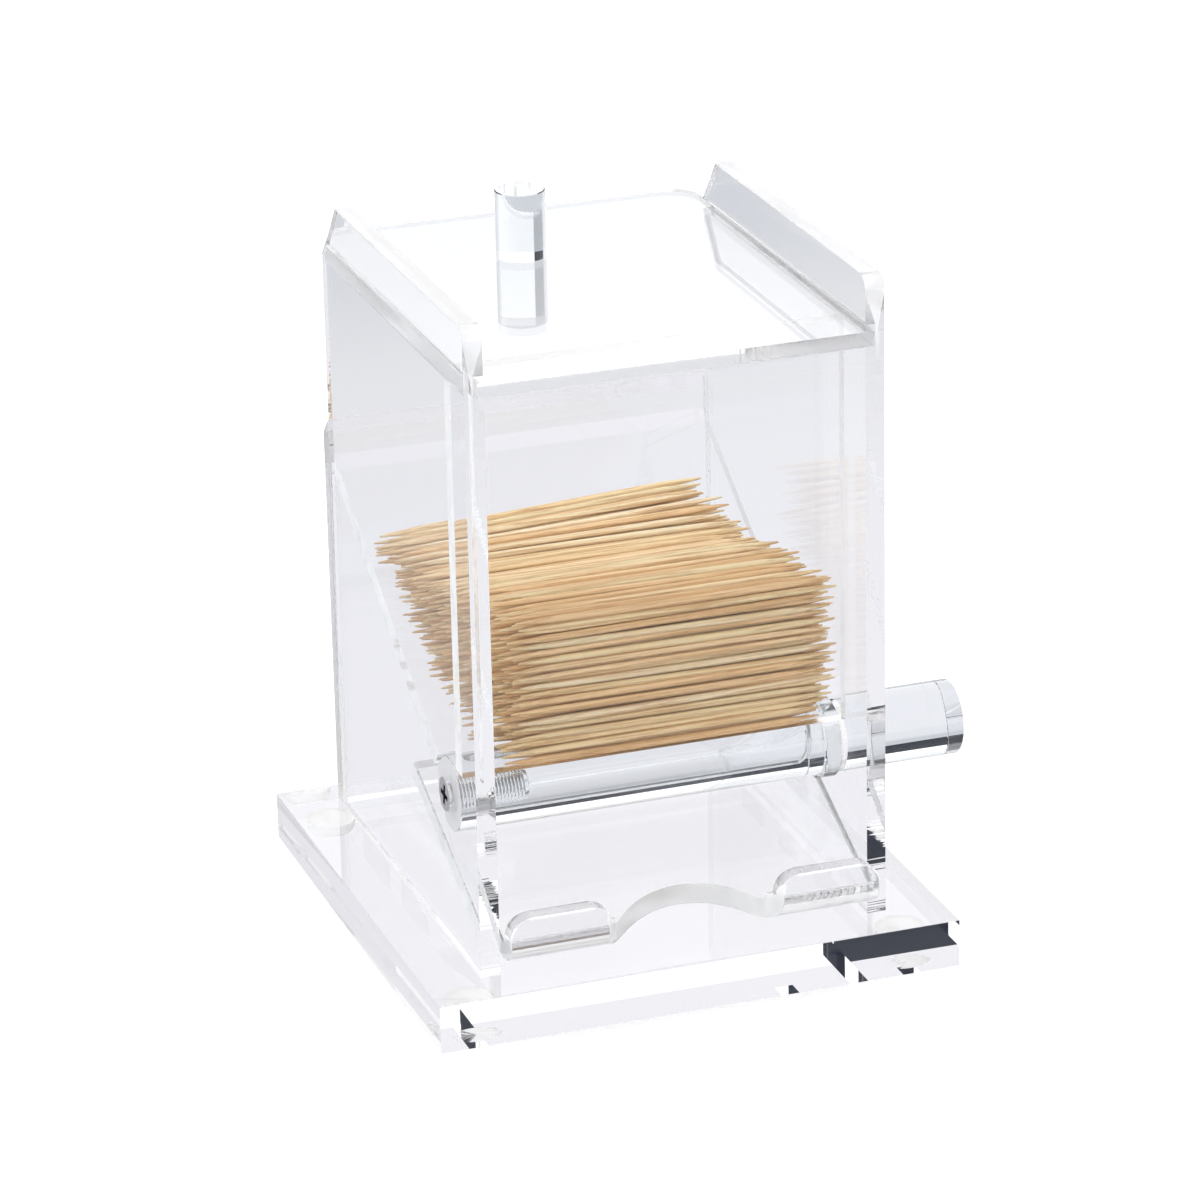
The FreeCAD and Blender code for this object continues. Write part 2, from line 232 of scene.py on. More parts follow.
side_face = clear_acrylic("side_face", 0.0, 60 * MM, 0.0003 * MM, calm=0.5)
cast_face = clear_acrylic("cast_face", 0.0, 60 * MM, 0.0003 * MM)
laser_side = clear_acrylic("laser_side", 0.05, 0.9 * MM, 0.06 * MM, drawn_out=(0.02, 1, 1))
laser_lid = clear_acrylic("laser_lid", 0.06, 1.2 * MM, 0.12 * MM, 0.85, drawn_out=(1, 1, 0.02))
bent_face = clear_acrylic("bent_face", 0.08, 5 * MM, 0.002 * MM, 0.6)
milky_edge = clear_acrylic("milky_edge", 0.25, 5 * MM, 0.002 * MM, 0.7)
polished_edge = clear_acrylic("polished_edge", 0.01, 8 * MM, 0.001 * MM)
for finish in (side_face, cast_face, laser_side, laser_lid, bent_face, milky_edge, polished_edge):
    print("finish:", finish.name)

# %% [markdown]
# ## Making a piece
#
# Every piece of the scene is a mesh that rides on a body of the frame and stands for one CAD node. It
# could be drawn by hand, but then it might miss its place, so each piece starts from its node: these
# helpers read a node into an editable skin and turn an edited skin into a piece.

# %% From a CAD node to a piece
FINE_WELD = 0.0001 * MM


def read_node(name):
    """The CAD node's mesh, welded into one skin."""
    skin = bmesh.new()
    skin.from_mesh(cad[name].data)
    bmesh.ops.remove_doubles(skin, verts=skin.verts, dist=FINE_WELD)
    return skin


def as_object(name, skin, finishes):
    """Turns an edited skin into an object. Its faces already say which of the finishes they have."""
    mesh = bpy.data.meshes.new(name)
    skin.to_mesh(mesh)
    skin.free()
    for finish in finishes:
        mesh.materials.append(finish)
    item = bpy.data.objects.new(name, mesh)
    scene.collection.objects.link(item)
    return item


def soften(item, angle):
    """Shades the skin as smooth, apart from corners that turn by more than the angle, in degrees.
    Flat faces keep their own direction and the bends beside them give way, or a sheet looks warped."""
    item.data.shade_smooth()
    item.data.set_sharp_from_angle(angle=math.radians(angle))
    even = item.modifiers.new("even_light", "WEIGHTED_NORMAL")
    even.keep_sharp = True
    even.weight = 100


def settle(item, body, node):
    """The object stands in for the CAD node, which is hidden, and moves with the body."""
    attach(item, body)
    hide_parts(node)
    print(f"{item.name}: {len(item.data.polygons)} faces on {body}")


print("helpers: read_node, as_object, soften, settle")

# %% [markdown]
# ## Turned pieces
#
# The roller, its collar, the knob, the screw and the round bumpers under the base are all bodies of
# revolution. The CAD meshes of them have few sides, and in clear plastic every facet shows twice, on
# the near side and through the body. A subdivision surface would round their edges too, so they are
# turned again here with many sides, from the sizes of the CAD nodes. The outline is a short list of
# (distance along the axis, radius).

# %% A small lathe
LATHE_STEPS = 128


def turned(outline, radius_at=None, steps=LATHE_STEPS):
    """A skin turned about +X. radius_at(distance, turn, radius) can change the radius."""
    skin = bmesh.new()
    rings = []
    for x, radius in outline:
        ring = []
        for k in range(steps if radius else 1):
            turn = 2 * math.pi * k / steps
            r = radius_at(x, turn, radius) if radius_at else radius
            ring.append(skin.verts.new((x, r * math.cos(turn), r * math.sin(turn))))
        rings.append(ring)
    for ring, after in zip(rings, rings[1:]):
        for k in range(steps):
            n = (k + 1) % steps
            corners = {ring[k % len(ring)]: 0, ring[n % len(ring)]: 0}
            corners.update({after[n % len(after)]: 0, after[k % len(after)]: 0})
            if len(corners) > 2:
                skin.faces.new(list(corners))
    bmesh.ops.recalc_face_normals(skin, faces=skin.faces)
    return skin


def stand(skin, place, upright=False):
    """Moves a turned skin into place, with its axis along +X or upright."""
    turn = Matrix.Rotation(math.radians(-90), 4, "Y") if upright else Matrix.Identity(4)
    bmesh.ops.transform(skin, matrix=Matrix.Translation(place) @ turn, verts=skin.verts)
    return skin


def subtract(skin, cutters):
    """The skin with the cutters taken out of it."""
    whole = as_object("blank", skin, [])
    tools = [as_object("cutter", cutter, []) for cutter in cutters]
    for tool in tools:
        cut = whole.modifiers.new("cut", "BOOLEAN")
        cut.operation = "DIFFERENCE"
        cut.solver = "EXACT"
        cut.object = tool
    view = bpy.context.evaluated_depsgraph_get()
    result = bmesh.new()
    result.from_mesh(bpy.data.meshes.new_from_object(whole.evaluated_get(view)))
    for item in [whole] + tools:
        bpy.data.objects.remove(item)
    return result


print("lathe with", LATHE_STEPS, "steps")

# %% [markdown]
# ### The roller
#
# A rod with a pocket milled along it and a tapped hole in its left end. A drill leaves the cone at
# the bottom of the hole, and the tap leaves a thread. A thread could be a bump in the finish, but it
# shows through the clear rod, so it is cut here: it is a helix, and its radius depends on the
# distance along the axis and on the turn together.

# %% Threads
PITCH = 0.7 * MM
THREAD_DEPTH = 0.36 * MM
ROWS_PER_TURN = 8
axis = Vector(frame["joints"][0]["pos_m"])
rod_low, rod_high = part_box("roller")
rod_radius = (rod_high.z - rod_low.z) / 2


def thread(x, turn, radius):
    """The radius on a screw thread whose crests reach the given radius."""
    phase = (x / PITCH - turn / (2 * math.pi)) % 1.0
    return radius - THREAD_DEPTH * abs(2 * phase - 1)


def thread_rows(start, end, radius):
    """The outline's points along a thread."""
    count = round((end - start) / PITCH * ROWS_PER_TURN)
    return [(start + (end - start) * i / count, radius) for i in range(count + 1)]


def cut_thread(start, end):
    """Gives a thread between two distances, near the axis, and leaves the rest as it is."""
    slack = PITCH / (ROWS_PER_TURN + 1)

    def radius_at(x, turn, radius):
        inside = start - slack < x < end + slack and radius < rod_radius / 2
        return thread(x, turn, radius) if inside else radius
    return radius_at


print("thread:", PITCH / MM, "mm pitch, about an axis at z =", round(axis.z / MM, 2), "mm")

# %% Turn the roller
SCREW_RADIUS = 2.0 * MM
TAP_PLAY = 0.03 * MM
EDGE_BREAK = 0.15 * MM
HOLE_MOUTH = 0.3 * MM
DRILL_POINT = 1.2 * MM
screw_low, screw_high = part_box("roller_screw")
drilled = SCREW_RADIUS + TAP_PLAY
tapped = SCREW_RADIUS + THREAD_DEPTH + TAP_PLAY
tap_start = rod_low.x + 0.5 * MM
tap_end = screw_high.x + 0.3 * MM
hole_end = screw_high.x + 1.0 * MM
rod_outline = [(hole_end + DRILL_POINT, 0), (hole_end, drilled)]
rod_outline += thread_rows(tap_start, tap_end, tapped)[::-1]
rod_outline += [
    (rod_low.x + HOLE_MOUTH, tapped), (rod_low.x, tapped + HOLE_MOUTH),
    (rod_low.x, rod_radius - EDGE_BREAK), (rod_low.x + EDGE_BREAK, rod_radius),
    (rod_high.x - EDGE_BREAK, rod_radius), (rod_high.x, rod_radius - EDGE_BREAK), (rod_high.x, 0),
]
rod = turned(rod_outline, cut_thread(tap_start, tap_end))
stand(rod, Vector((0, axis.y, axis.z)))
print("roller blank:", len(rod.faces), "faces, radius", round(rod_radius / MM, 2), "mm")

# %% Mill its pocket
POCKET_WIDTH = 6.35 * MM
POCKET_DEPTH = 2.6 * MM
POCKET_LENGTH = 67 * MM
POCKET_FROM_COLLAR = 1.8 * MM
POCKET_TURN = math.radians(60)
MILL_STEPS = 32
collar_low, collar_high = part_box("roller_collar")


def pocket_cutter():
    """What an end mill sweeps: a slot with half-round ends and a flat floor."""
    r = POCKET_WIDTH / 2
    right = collar_low.x - POCKET_FROM_COLLAR
    left = right - POCKET_LENGTH
    outline = []
    for middle, start in ((right - r, -0.5), (left + r, 0.5)):
        for k in range(MILL_STEPS + 1):
            turn = math.pi * (k / MILL_STEPS + start)
            outline.append((middle + r * math.cos(turn), r * math.sin(turn)))
    skin = bmesh.new()
    floor_height = rod_radius - POCKET_DEPTH
    floor_corners = [skin.verts.new((x, y, floor_height)) for x, y in outline]
    sweep = bmesh.ops.extrude_face_region(skin, geom=[skin.faces.new(floor_corners)])
    lifted = [item for item in sweep["geom"] if isinstance(item, bmesh.types.BMVert)]
    bmesh.ops.translate(skin, vec=(0, 0, 2 * POCKET_DEPTH), verts=lifted)
    bmesh.ops.recalc_face_normals(skin, faces=skin.faces)
    turn = Matrix.Rotation(POCKET_TURN - math.radians(90), 4, "X")
    bmesh.ops.transform(skin, matrix=turn, verts=skin.verts)
    return stand(skin, Vector((0, axis.y, axis.z)))


rod = subtract(rod, [pocket_cutter()])
print("roller with its pocket:", len(rod.faces), "faces")

# %% [markdown]
# ### Collar, knob and bumpers
#
# The collar is a ring that is glued to the rod beside the right panel, and it keeps the rod from
# sliding. The knob is a short piece of rod that stands on the lid. Its joint is dry: a film of air is
# left under it, and that film is what makes the joint show. The bumpers are bought, with a domed
# sole. Each could be a cylinder with bevels, but an outline gives every edge its own size.

# %% Turn the collar and the knob
INTO_ROD = 0.3 * MM
KNOB_EDGE = 0.15 * MM
DRY_GAP = 0.02 * MM
WELD = 0.001 * MM
collar_radius = (collar_high.z - collar_low.z) / 2
collar = turned([
    (collar_low.x, rod_radius - INTO_ROD), (collar_low.x, collar_radius - EDGE_BREAK),
    (collar_low.x + EDGE_BREAK, collar_radius), (collar_high.x - EDGE_BREAK, collar_radius),
    (collar_high.x, collar_radius - EDGE_BREAK), (collar_high.x, rod_radius - INTO_ROD),
    (collar_low.x, rod_radius - INTO_ROD),
])
bmesh.ops.remove_doubles(collar, verts=collar.verts, dist=WELD)
stand(collar, Vector((0, axis.y, axis.z)))

knob_low, knob_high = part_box("lid_knob")
knob_radius = (knob_high.x - knob_low.x) / 2
knob_height = knob_high.z - knob_low.z - DRY_GAP
knob = turned([
    (0, 0), (0, knob_radius), (knob_height - KNOB_EDGE, knob_radius),
    (knob_height, knob_radius - KNOB_EDGE), (knob_height, 0),
])
knob_middle = (knob_low + knob_high) / 2
stand(knob, Vector((knob_middle.x, knob_middle.y, knob_low.z + DRY_GAP)), upright=True)
print("collar and knob:", len(collar.faces), "and", len(knob.faces), "faces")

# %% Turn the bumpers
BUMPER_STEPS = 64
FLANK_FROM = 0.85
SOLE_ROUNDING = 0.22
SOLE_RINGS = 8


def bumper_skin(name):
    """A round bumper with a slightly domed sole."""
    low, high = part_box(name)
    radius = (high.x - low.x) / 2
    height = high.z - low.z
    outline = [(height, 0), (height, radius), (height * FLANK_FROM, radius)]
    for k in range(1, SOLE_RINGS + 1):
        share = k / SOLE_RINGS
        narrowed = radius * (1 - SOLE_ROUNDING * share ** 2)
        outline.append((height * FLANK_FROM * (1 - share) ** 2, narrowed))
    outline.append((0, 0))
    middle = (low + high) / 2
    place = Vector((middle.x, middle.y, low.z))
    return stand(turned(outline, steps=BUMPER_STEPS), place, upright=True)


bumper_names = sorted(name for name in cad if name.startswith("foot_"))
print("bumpers:", ", ".join(bumper_names))

# %% [markdown]
# ## Square edges and dry joints
#
# The solids have small broken edges. The real sheets are as square as the laser leaves them, and in
# clear plastic even a narrow bevel draws a black line, so the bevels are taken off again here. The
# ends of the front panel and all edges of the plate go back out to the node's box. The sheets could
# be drawn anew, but moving their corners keeps every size. The lid lies loose in its grooves and the
# back panel only rests on the plate, so their lower faces are lifted by the same film of air as the
# knob's.

# %% Square a sheet off
SHEET_BREAK = 0.25 * MM
BREAK_SLACK = 0.02 * SHEET_BREAK
SNAP_REACH = 2 * SHEET_BREAK


def square_off(skin, thickness):
    """Takes the bevels off a sheet: each of their corners moves out to the sharp corner."""
    partner = {}
    for vert in skin.verts:
        near = []
        for edge in vert.link_edges:
            other = edge.other_vert(vert)
            along = (other.co - vert.co).dot(thickness)
            over_bevel = abs(abs(along) - SHEET_BREAK) < BREAK_SLACK
            if over_bevel and edge.calc_length() < 4 * SHEET_BREAK:
                near.append((edge.calc_length(), other, along))
        if near:
            partner[vert] = min(near, key=lambda item: item[0])[1:]
    merge = {}
    for vert, (other, _) in partner.items():
        on_broad_side = any(abs(face.normal.dot(thickness)) > 0.99 for face in vert.link_faces)
        if on_broad_side and other not in merge:
            merge[vert] = other
    moves = {other: other.co - thickness * partner[vert][1] for vert, other in merge.items()}
    for other, place in moves.items():
        other.co = place
    bmesh.ops.weld_verts(skin, targetmap=merge)
    bmesh.ops.dissolve_degenerate(skin, edges=skin.edges, dist=WELD)
    bmesh.ops.recalc_face_normals(skin, faces=skin.faces)
    return skin


def snap_to_box(skin, name, axes):
    """Moves the corners that lie close to the ends of the node's box onto them, along the axes."""
    low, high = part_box(name)
    for vert in skin.verts:
        for i in axes:
            if vert.co[i] < low[i] + SNAP_REACH:
                vert.co[i] = low[i]
            elif vert.co[i] > high[i] - SNAP_REACH:
                vert.co[i] = high[i]


print("a broken edge is", SHEET_BREAK / MM, "mm wide")

# %% Leave air in a dry joint
def lift_off(skin, level):
    """Lifts the face that rests at a level by the dry gap. The piece's top stays where it is."""
    for vert in skin.verts:
        if vert.co.z < level + DRY_GAP / 2:
            vert.co.z += DRY_GAP


print("a dry joint keeps", DRY_GAP / MM, "mm of air")

# %% [markdown]
# ## Cemented joints
#
# Solvent cement melts two acrylic faces into each other, so light passes a good joint as if nothing
# were there. Two closed meshes that touch would show two surfaces with a film of air between them.
# Here the solids of a cemented group are united, which takes the touching faces away, and the skin
# is then given back to the pieces it came from, so that each stays a piece of its own.

# %% Unite a cemented group and give the skin back
def cement(skins, tag):
    """skins are name: bmesh. Returns name: bmesh, each without the faces that the cement joins."""
    solids = []
    for name, skin in skins.items():
        marker = bpy.data.materials.new(tag + name)
        for face in skin.faces:
            face.material_index = 0
        solids.append(as_object(tag + name, skin, [marker]))
    united = solids[0]
    for other in solids[1:]:
        union = united.modifiers.new(other.name, "BOOLEAN")
        union.operation = "UNION"
        union.solver = "EXACT"
        union.material_mode = "TRANSFER"
        union.object = other
    view = bpy.context.evaluated_depsgraph_get()
    whole = bpy.data.meshes.new_from_object(united.evaluated_get(view))
    order = [marker.name for marker in whole.materials]
    parts = {}
    for name in skins:
        part = bmesh.new()
        part.from_mesh(whole)
        index = order.index(tag + name)
        others = [face for face in part.faces if face.material_index != index]
        bmesh.ops.delete(part, geom=others, context="FACES")
        for face in part.faces:
            face.material_index = 0
        parts[name] = part
    for solid in solids:
        bpy.data.objects.remove(solid)
    print(tag, "united:", len(whole.polygons), "faces in", len(parts), "pieces")
    return parts


print("cement unites solids and gives each its share of the skin")

# %% Unite what is cemented
box_names = [
    "base_plate", "left_side_panel", "right_side_panel", "front_panel",
    "back_panel", "hopper_ramp", "tray",
]
box_skins = {name: read_node(name) for name in box_names}
square_off(box_skins["left_side_panel"], ACROSS)
square_off(box_skins["right_side_panel"], ACROSS)
square_off(box_skins["front_panel"], ALONG)
snap_to_box(box_skins["front_panel"], "front_panel", [0])
plate = box_skins["base_plate"]
snap_to_box(plate, "base_plate", [0, 1, 2])
bmesh.ops.remove_doubles(plate, verts=plate.verts, dist=WELD)
lift_off(box_skins["back_panel"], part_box("base_plate")[1].z)
box_skins.update({name: bumper_skin(name) for name in bumper_names})
box_parts = cement(box_skins, "box_")

lid_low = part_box("lid")[0]
lid_skin = square_off(read_node("lid"), UP)
lift_off(lid_skin, lid_low.z)
lid_parts = cement({"lid": lid_skin, "lid_knob": knob}, "lid_")
roller_parts = cement({"roller": rod, "roller_collar": collar}, "rod_")

# %% [markdown]
# ## Cast faces and cut edges
#
# On a sheet, the two big faces are as cast and everything else has been cut. The cut faces are found
# by their direction: a face belongs to the sheet's broad sides if it looks along the sheet's
# thickness. The tray is bent, so its cut faces are the ends, the lips' tops and the round finger
# bite. The finishes could be picked face by face in the viewport, but a rule still holds when a size
# changes.

# %% Tell the faces apart
FINGER_RADIUS = 20.1 * MM
FINGER_DEPTH = 11.2 * MM
RAMP_SLOPE = math.radians(32)
TRAY_SLOPE = math.radians(24)
finger_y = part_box("tray")[0].y + FINGER_DEPTH - FINGER_RADIUS
across_ramp = Vector((0, -math.sin(RAMP_SLOPE), math.cos(RAMP_SLOPE)))
across_tray = Vector((0, -math.sin(TRAY_SLOPE), math.cos(TRAY_SLOPE)))


def is_cut(name, face, thickness):
    """True on a face that the laser or the saw made."""
    if name != "tray":
        return abs(face.normal.dot(thickness)) < 0.9
    middle = face.calc_center_median()
    bite = abs(math.hypot(middle.x, middle.y - finger_y) - FINGER_RADIUS) < 0.1 * MM
    return bite or abs(face.normal.x) > 0.5 or face.normal.z > 0.99


def is_bend(face):
    """True on a face of the tray's bend, which lies between the slope and the upright lip."""
    along_slope = abs(face.normal.dot(across_tray))
    return abs(face.normal.x) < 0.1 and along_slope < 0.98 and abs(face.normal.y) < 0.98


def is_milky(name, face):
    """True on the cut faces that the fumes frosted: the side panels' ears and slopes, the lid's
    long edges, the top of the front panel, and the tray's finger bite and lip corners."""
    if "side" in name:
        return face.normal.z > 0.3 or face.calc_center_median().z > lid_low.z
    if name == "tray":
        return abs(face.normal.x) < 0.99 and face.normal.z < 0.5
    if name == "lid":
        return abs(face.normal.x) > 0.5
    return name == "front_panel" and face.normal.z > 0.5


print("the finger bite is round about y =", round(finger_y / MM, 1), "mm")

# %% [markdown]
# ## Cement films
#
# The joints between the side panels and the ramp, tray and front panel aren't perfect: dried cement
# stays in them as a thin white film, clearer where it wetted the faces well. The union has taken the
# touching faces away, so the ends of these cross sheets are put back as thin, cloudy skins. A real
# gap could be left there instead, but it would mirror like one, and the film is matt.

# %% The films
FILM_PATCH = 6 * MM
hopper_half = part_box("right_side_panel")[0].x


def cement_film():
    """White and partly see-through, in patches. Its faint painted glow keeps it from falling
    dark inside the glass.
    """
    material, nodes, place = new_finish("cement_film")
    show(nodes, {
        "Base Color": colour(236, 240, 244),
        "Roughness": 0.8,
        "Alpha": 0.4 + 0.4 * clouds(place, FILM_PATCH, 3.0),
        # A painted glow: the film gives out a little light, so that it stays pale inside the glass.
        "Emission Color": (1, 1, 1, 1),
        "Emission Strength": 0.3,
    })
    return material


def is_joint(face):
    """True on a face of a cross sheet that touches a side panel."""
    reach = abs(face.calc_center_median().x)
    return abs(face.normal.x) >= 0.99 and reach >= hopper_half - 0.1 * MM


def add_films(name, skin, finish):
    """Puts the two end faces of a cross sheet back, as films of cement inside the joints. finish is
    the number of the film among the sheet's finishes."""
    ends = read_node(name)
    for face in ends.faces:
        if is_joint(face):
            corners = [skin.verts.new(vert.co) for vert in face.verts]
            skin.faces.new(corners).material_index = finish
    ends.free()


film = cement_film()
print("films at x = +-", round(hopper_half / MM, 1), "mm")

# %% Dress the sheets
BROAD, CUT, MILKY, FILM, BENT = range(5)


def dress_sheet(name, thickness, skin, body):
    """Gives the broad sides the cast finish and the rest the one that its tool left."""
    for face in skin.faces:
        face.material_index = BROAD
        if is_cut(name, face, thickness):
            face.material_index = MILKY if is_milky(name, face) else CUT
        elif name == "tray" and is_bend(face):
            face.material_index = BENT
    if name in ("hopper_ramp", "tray", "front_panel"):
        add_films(name, skin, FILM)
    broad = side_face if "side" in name else cast_face
    edge = {"base_plate": polished_edge, "lid": laser_lid}.get(name, laser_side)
    item = as_object(name + "_sheet", skin, [broad, edge, milky_edge, film, bent_face])
    soften(item, 25)
    settle(item, body, name)


thickness_of = {
    "base_plate": UP, "left_side_panel": ACROSS, "right_side_panel": ACROSS,
    "front_panel": ALONG, "back_panel": ALONG, "hopper_ramp": across_ramp, "tray": across_tray,
}
for name, thickness in thickness_of.items():
    dress_sheet(name, thickness, box_parts[name], "frame")
dress_sheet("lid", UP, lid_parts["lid"], "lid")

# %% [markdown]
# ## Rods
#
# The roller, its collar and the knob are turned from extruded rod, which is a shade greyer and bluer
# than cast sheet. The rod's colour could come from absorption, but the pieces are thin, so a tint at
# the surface does as well. The sawn left end of the roller is matt, because nobody polishes a face
# that sits against the panel.

# %% Dress the turned pieces
ROD_TINT = (0.90, 0.925, 0.94, 1)
turned_rod = clear_acrylic("turned_rod", 0.0, 20 * MM, 0.0002 * MM, tint=ROD_TINT)
sawn_end = clear_acrylic("sawn_end", 0.45, 0.3 * MM, 0.01 * MM, 0.3)


def dress_rod(name, skin, body):
    """Polished all over, apart from the roller's left end."""
    for face in skin.faces:
        face.material_index = int(face.normal.x < -0.99 and name == "roller")
    item = as_object(name + "_rod", skin, [turned_rod, sawn_end])
    soften(item, 25)
    settle(item, body, name)


dress_rod("lid_knob", lid_parts["lid_knob"], "lid")
dress_rod("roller", roller_parts["roller"], "roller")
dress_rod("roller_collar", roller_parts["roller_collar"], "roller")

# %% [markdown]
# ## Bumpers
#
# Four soft, round, self-adhesive bumpers carry the plate. The glue touches the acrylic, so they are
# seen straight through it as pale discs. They could be plain clear plastic, but the real ones are
# cloudy and scatter light, so these are only partly see-through. They also have a faint painted glow,
# which keeps them pale in the shade under the plate.

# %% Dress the bumpers
def bumper_finish():
    """Milky plastic with a faint grain and a faint painted glow."""
    material, nodes, place = new_finish("bumper_clear")
    grain = clouds(place, 2.5 * MM, 3.0)
    show(nodes, {
        "Base Color": blend(grain, colour(240, 240, 238), colour(250, 250, 249)),
        "Roughness": 0.3 + 0.2 * grain,
        "IOR": 1.3,
        "Transmission Weight": 0.6,
        # A faint painted glow, which keeps the bumpers pale in the shade under the plate.
        "Emission Color": (1, 1, 1, 1),
        "Emission Strength": 0.12,
    })
    return material


# The union has opened the plate over each bumper, and the bumper itself is made whole again.
bumper = bumper_finish()
for name in bumper_names:
    box_parts[name].free()
    foot = as_object(name + "_bumper", bumper_skin(name), [bumper])
    soften(foot, 35)
    settle(foot, "frame", name)

# %% [markdown]
# ## Screw
#
# A countersunk machine screw holds the roller's left end and is its bearing there. Its head is flush
# with the panel, its recess is a cross, and its thread shows through the clear rod. It could be a
# smooth pin with a bump, but the crests are what catches the light, so it is turned with a real
# thread, and the recess is cut by two crossed wedges.

# %% Turn the screw
SCREW_STEPS = 64
HEAD_BREAK = 0.1 * MM
HEAD_SLANT = 0.12 * MM
NECK_IN = 0.1 * MM
TIP_BEVEL = 0.6 * MM
screw_radius = (screw_high.z - screw_low.z) / 2
neck = screw_low.x + (screw_radius - SCREW_RADIUS)
thread_start = rod_low.x + 0.2 * MM
thread_end = screw_high.x - 0.4 * MM
screw_outline = [
    (screw_low.x, 0), (screw_low.x, screw_radius - HEAD_SLANT),
    (screw_low.x + HEAD_BREAK, screw_radius), (neck, SCREW_RADIUS - NECK_IN),
]
screw_outline += thread_rows(thread_start, thread_end, SCREW_RADIUS)
screw_outline += [(screw_high.x, SCREW_RADIUS - TIP_BEVEL), (screw_high.x, 0)]
screw_skin = turned(screw_outline, cut_thread(thread_start, thread_end), SCREW_STEPS)
stand(screw_skin, Vector((0, axis.y, axis.z)))
print("screw:", len(screw_skin.faces), "faces, head radius", round(screw_radius / MM, 2), "mm")

# %% Cut its recess
RECESS_TURN = math.radians(8)
RECESS_HALF_TOP = 2.2 * MM
RECESS_HALF_FOOT = 0.8 * MM
RECESS_HALF_WIDTH = 0.55 * MM
RECESS_DEPTH = 1.7 * MM
CUTTER_OVERLAP = 0.1 * MM


def recess_wing(turn):
    """One of the two crossed slots, narrower at the bottom."""
    skin = bmesh.new()
    outline = [
        (-CUTTER_OVERLAP, -RECESS_HALF_TOP), (-CUTTER_OVERLAP, RECESS_HALF_TOP),
        (RECESS_DEPTH, RECESS_HALF_FOOT), (RECESS_DEPTH, -RECESS_HALF_FOOT),
    ]
    near = [skin.verts.new((x, -RECESS_HALF_WIDTH, z)) for x, z in outline]
    far = [skin.verts.new((x, RECESS_HALF_WIDTH, z)) for x, z in outline]
    skin.faces.new(near)
    skin.faces.new(far)
    for k in range(4):
        n = (k + 1) % 4
        skin.faces.new((near[k], near[n], far[n], far[k]))
    bmesh.ops.recalc_face_normals(skin, faces=skin.faces)
    bmesh.ops.transform(skin, matrix=Matrix.Rotation(turn, 4, "X"), verts=skin.verts)
    return stand(skin, Vector((screw_low.x, axis.y, axis.z)))


wings = [recess_wing(RECESS_TURN), recess_wing(RECESS_TURN + math.pi / 2)]
screw_skin = subtract(screw_skin, wings)
print("screw with its recess:", len(screw_skin.faces), "faces")

# %% Dress the screw
def steel_finish():
    """Bright plated steel with a fine grain."""
    material, nodes, place = new_finish("screw_plated")
    show(nodes, {
        "Base Color": colour(226, 226, 228),
        "Metallic": 1.0,
        "Roughness": 0.35 + 0.2 * clouds(place, 0.4 * MM),
    })
    return material


def recess_painted_shade_finish():
    """Painted shade in the recess: near black, where the cross lies in its own shade."""
    material, nodes, place = new_finish("screw_recess")
    show(nodes, {
        "Base Color": colour(24, 24, 26),
        "Roughness": 0.6 + 0.2 * clouds(place, 0.5 * MM),
    })
    return material


def in_recess(face):
    """True on a face inside the recess: below the head's face and well within its cone."""
    middle = face.calc_center_median()
    depth = middle.x - screw_low.x
    from_axis = math.hypot(middle.y - axis.y, middle.z - axis.z)
    return 0.02 * MM < depth < 1.8 * MM and from_axis < screw_radius - depth - 0.2 * MM


# The faces inside the recess get the near-black painted shade.
for face in screw_skin.faces:
    face.material_index = int(in_recess(face))
screw = as_object("roller_screw_turned", screw_skin, [steel_finish(), recess_painted_shade_finish()])
soften(screw, 30)
settle(screw, "roller", "roller_screw")

# %% [markdown]
# ## Toothpicks
#
# The hopper holds a few hundred round bamboo sticks, pointed at both ends, which lie side by side
# because they are put in as a bundle. They could be scattered by a simulation, but the CAD node
# already holds one plain stick for each, at rest on the others. So each stick is found there and
# shaped again in its place: turned with a long taper, bent a hair, a little thinner or thicker than
# the next, and with a tone of its own. The topmost ones at the back lie at a slant on the others, and
# fan out to the right.

# %% Where the sticks lie
def islands(skin):
    """The separate solids in a skin, as lists of points."""
    seen = set()
    for first in skin.verts:
        if first in seen:
            continue
        group, wave = [], [first]
        seen.add(first)
        while wave:
            vert = wave.pop()
            group.append(vert.co.copy())
            for edge in vert.link_edges:
                other = edge.other_vert(vert)
                if other not in seen:
                    seen.add(other)
                    wave.append(other)
        yield group


def stick_places():
    """The middle, length and radius of every stick in the pile."""
    skin = read_node("toothpicks")
    places = []
    for points in islands(skin):
        low = Vector(min(p[i] for p in points) for i in range(3))
        high = Vector(max(p[i] for p in points) for i in range(3))
        centre = Vector((0, low.y + high.y, low.z + high.z)) / 2
        radius = max((Vector((0, p.y, p.z)) - centre).length for p in points)
        places.append(((low + high) / 2, high.x - low.x, radius))
    skin.free()
    return sorted(places, key=lambda place: tuple(place[0]))


sticks = stick_places()
print(len(sticks), "sticks, each", round(sticks[0][1] / MM, 1), "mm long")

# %% Shape a stick
SIDES = 10
TAPER = 8 * MM
TIP_SHARE = 0.22
RING_AT = [0.0, 0.06, 0.3, 0.65, 1.0]


def stick_rings(length, radius):
    """(distance from the middle, radius) from one point to the other."""
    end = length / 2
    half = [(end - TAPER * t, radius * (TIP_SHARE + (1 - TIP_SHARE) * t ** 0.75)) for t in RING_AT]
    middle = [(end / 3, radius), (-end / 3, radius)]
    return [(-x, r) for x, r in half + middle] + [(x, r) for x, r in reversed(half)]


